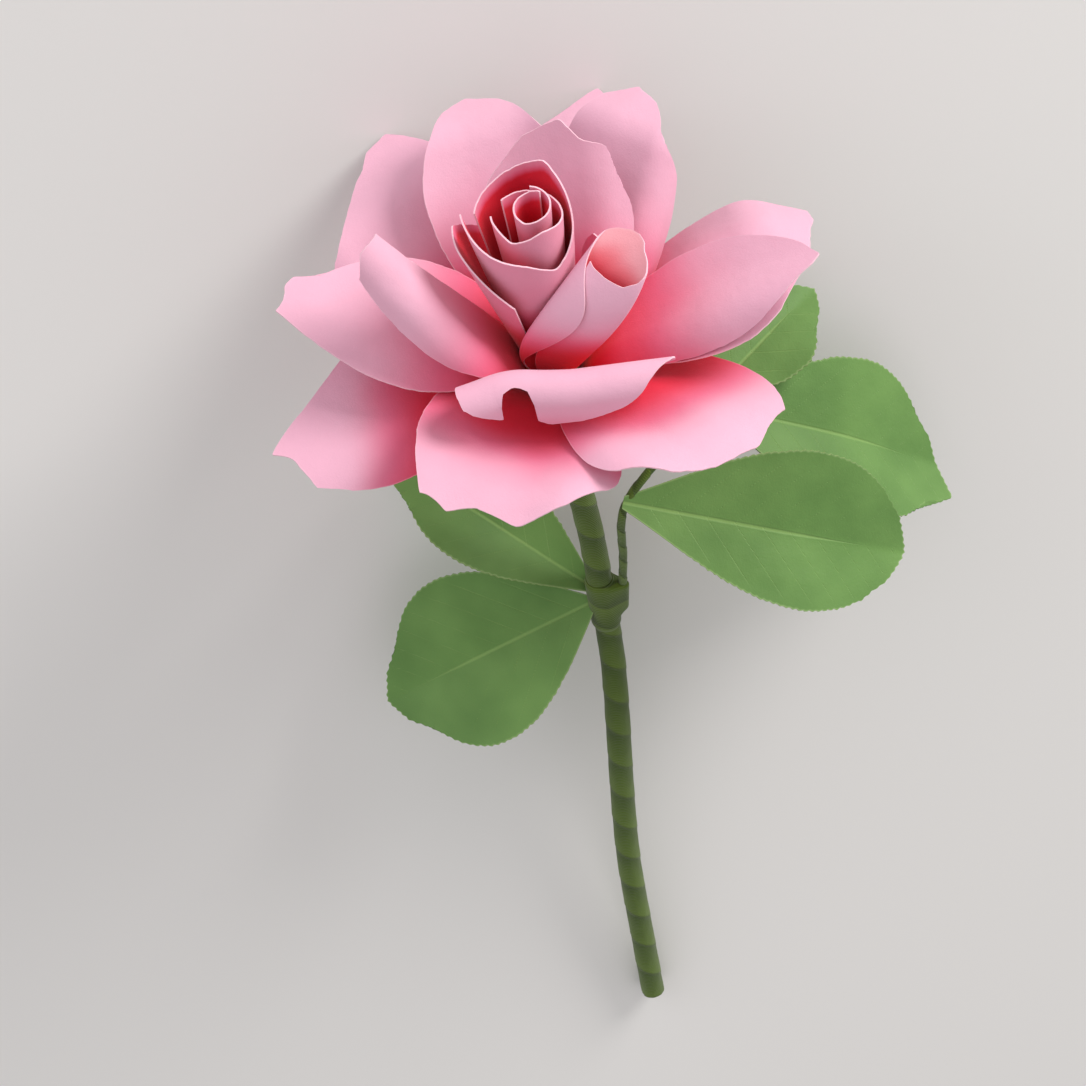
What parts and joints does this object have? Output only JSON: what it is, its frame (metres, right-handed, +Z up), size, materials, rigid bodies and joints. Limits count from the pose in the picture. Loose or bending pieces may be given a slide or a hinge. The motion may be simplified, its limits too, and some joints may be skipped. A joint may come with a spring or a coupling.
{
  "type": "paper rose",
  "caption": "Single rose of pink card petals rolled and folded round a wound bud, on a taped wire stem with green card leaves, lying at rest.",
  "frame": {"origin": "middle of the object's bounding box, on the surface it lies on", "axes": "+Z up from the surface, +Y along the object from the stem's end to the flower, +X to the flower's left-hand side as it faces up"},
  "size_m": [0.1282, 0.2176, 0.0819],
  "materials": {
    "petal_card": "matt dyed card, deeper rose red towards the petals' feet",
    "plug_paper": "matt rolled paper",
    "leaf_card": "satin green card, paler towards the edges",
    "stem_tape": "matt crepe tape, wound on the slant",
    "stem_wire": "drawn steel wire"
  },
  "bodies": {
    "root": {"outer_petal_front_left": "petal_card", "outer_petal_front": "petal_card", "outer_petal_front_right": "petal_card", "outer_petal_right": "petal_card", "outer_petal_back": "petal_card", "outer_petal_back_left": "petal_card", "middle_petal_left": "petal_card", "middle_petal_front": "petal_card", "middle_petal_right": "petal_card", "middle_petal_back_right": "petal_card", "middle_petal_back_left": "petal_card", "inner_petal_left": "petal_card", "inner_petal_front_left": "petal_card", "inner_petal_front_right": "petal_card", "inner_petal_right": "petal_card", "inner_petal_back": "petal_card", "bud_roll": "petal_card", "bud_wrap_inner": "petal_card", "bud_wrap_outer": "petal_card", "petal_plug": "plug_paper", "calyx": "leaf_card", "leaf_left_low": "leaf_card", "leaf_left_high": "leaf_card", "leaf_right_front": "leaf_card", "leaf_right_end": "leaf_card", "leaf_right_back": "leaf_card", "stem_wrap": "stem_tape", "leaf_stalk": "stem_tape", "stem_wire": "stem_wire"}
  },
  "joints": []
}
